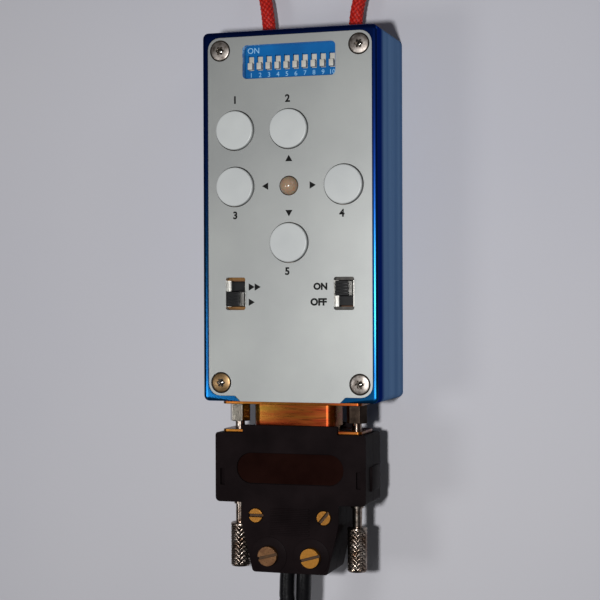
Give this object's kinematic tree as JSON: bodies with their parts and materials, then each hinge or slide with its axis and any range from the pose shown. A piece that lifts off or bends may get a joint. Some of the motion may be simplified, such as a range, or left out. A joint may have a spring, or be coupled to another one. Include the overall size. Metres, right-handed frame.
{
  "type": "hand controller",
  "caption": "Small blue-rimmed telescope motor hand controller with white buttons, a code switch, slide switches, a screwed-on black plug, hanked leads and a red hanging cord",
  "frame": {"origin": "middle of the case's flat back", "axes": "X across the face to the right, Y up the face towards the hanging cord, Z out of the face"},
  "size_m": [0.0494, 0.3717, 0.0301],
  "materials": {
    "case_blue": "satin",
    "plate_silver": "satin",
    "steel": "satin",
    "board_green": "satin",
    "chip_black": "matte",
    "sleeve_blue": "gloss",
    "switch_black": "satin",
    "code_blue": "satin",
    "lens": "gloss",
    "chromate": "satin",
    "paper_board": "matte",
    "knob_black": "satin",
    "insulator_black": "matte",
    "contact_gold": "satin",
    "nickel": "satin",
    "hood_black": "satin",
    "brass": "satin",
    "lead_black": "satin",
    "plug_black": "satin",
    "strap": "matte",
    "cord_red": "matte",
    "stem_ivory": "satin",
    "cap_white": "satin",
    "slider_white": "satin"
  },
  "bodies": {
    "handset": {"case_tub": "case_blue", "front_plate": "plate_silver", "plate_screws": "steel", "circuit_board": "board_green", "board_screws": "steel", "controller_chip": "chip_black", "driver_chips": "chip_black", "regulator": "chip_black", "capacitor": "sleeve_blue", "push_switch_bases": "switch_black", "push_switch_covers": "steel", "code_switch_body": "code_blue", "lamp": "lens", "slide_switch_frames": "chromate", "slide_switch_boards": "paper_board", "socket_shell": "chromate", "socket_insulator": "insulator_black", "socket_pins": "contact_gold", "standoffs": "nickel", "plug_shell": "chromate", "plug_insulator": "insulator_black", "plug_contacts": "contact_gold", "hood_front": "hood_black", "hood_rear": "hood_black", "hood_screws": "brass", "clamp_screws": "brass", "clamp_bar": "steel", "left_lead": "lead_black", "left_lead_hank": "lead_black", "right_lead": "lead_black", "right_lead_hank": "lead_black", "lead_plugs": "plug_black", "hank_tie": "strap", "lanyard": "cord_red", "lanyard_knots": "cord_red"},
    "key_mode": {"cap_mode": "cap_white", "stem_mode": "stem_ivory"},
    "key_up": {"cap_up": "cap_white", "stem_up": "stem_ivory"},
    "key_left": {"cap_left": "cap_white", "stem_left": "stem_ivory"},
    "key_right": {"cap_right": "cap_white", "stem_right": "stem_ivory"},
    "key_down": {"cap_down": "cap_white", "stem_down": "stem_ivory"},
    "way_1": {"code_slider_1": "slider_white"},
    "way_2": {"code_slider_2": "slider_white"},
    "way_3": {"code_slider_3": "slider_white"},
    "way_4": {"code_slider_4": "slider_white"},
    "way_5": {"code_slider_5": "slider_white"},
    "way_6": {"code_slider_6": "slider_white"},
    "way_7": {"code_slider_7": "slider_white"},
    "way_8": {"code_slider_8": "slider_white"},
    "way_9": {"code_slider_9": "slider_white"},
    "way_10": {"code_slider_10": "slider_white"},
    "speed_switch": {"speed_knob": "knob_black"},
    "power_switch": {"power_knob": "knob_black"},
    "left_screw": {"left_thumbscrew": "nickel"},
    "right_screw": {"right_thumbscrew": "nickel"}
  },
  "joints": [
    {"name": "press_mode", "type": "slide", "parent": "handset", "child": "key_mode", "axis": [0, 0, -1], "range_m": [0, 0.0004], "stiffness_N_per_m": 6000},
    {"name": "press_up", "type": "slide", "parent": "handset", "child": "key_up", "axis": [0, 0, -1], "range_m": [0, 0.0004], "stiffness_N_per_m": 6000},
    {"name": "press_left", "type": "slide", "parent": "handset", "child": "key_left", "axis": [0, 0, -1], "range_m": [0, 0.0004], "stiffness_N_per_m": 6000},
    {"name": "press_right", "type": "slide", "parent": "handset", "child": "key_right", "axis": [0, 0, -1], "range_m": [0, 0.0004], "stiffness_N_per_m": 6000},
    {"name": "press_down", "type": "slide", "parent": "handset", "child": "key_down", "axis": [0, 0, -1], "range_m": [0, 0.0004], "stiffness_N_per_m": 6000},
    {"name": "set_way_1", "type": "slide", "parent": "handset", "child": "way_1", "axis": [0, 1, 0], "range_m": [0, 0.0019]},
    {"name": "set_way_2", "type": "slide", "parent": "handset", "child": "way_2", "axis": [0, 1, 0], "range_m": [0, 0.0019]},
    {"name": "set_way_3", "type": "slide", "parent": "handset", "child": "way_3", "axis": [0, 1, 0], "range_m": [0, 0.0019]},
    {"name": "set_way_4", "type": "slide", "parent": "handset", "child": "way_4", "axis": [0, 1, 0], "range_m": [0, 0.0019]},
    {"name": "set_way_5", "type": "slide", "parent": "handset", "child": "way_5", "axis": [0, 1, 0], "range_m": [0, 0.0019]},
    {"name": "set_way_6", "type": "slide", "parent": "handset", "child": "way_6", "axis": [0, 1, 0], "range_m": [0, 0.0019]},
    {"name": "set_way_7", "type": "slide", "parent": "handset", "child": "way_7", "axis": [0, 1, 0], "range_m": [0, 0.0019]},
    {"name": "set_way_8", "type": "slide", "parent": "handset", "child": "way_8", "axis": [0, 1, 0], "range_m": [0, 0.0019]},
    {"name": "set_way_9", "type": "slide", "parent": "handset", "child": "way_9", "axis": [0, 1, 0], "range_m": [0, 0.0019]},
    {"name": "set_way_10", "type": "slide", "parent": "handset", "child": "way_10", "axis": [0, 1, 0], "range_m": [0, 0.0019]},
    {"name": "set_speed", "type": "slide", "parent": "handset", "child": "speed_switch", "axis": [0, 1, 0], "range_m": [0, 0.0028]},
    {"name": "set_power", "type": "slide", "parent": "handset", "child": "power_switch", "axis": [0, -1, 0], "range_m": [0, 0.0028]},
    {"name": "turn_left_screw", "type": "hinge", "parent": "handset", "child": "left_screw", "pos_m": [-0.01665, -0.0895, 0.0204], "axis": [0, 1, 0], "continuous": true},
    {"name": "turn_right_screw", "type": "hinge", "parent": "handset", "child": "right_screw", "pos_m": [0.01665, -0.0895, 0.0204], "axis": [0, 1, 0], "continuous": true}
  ]
}
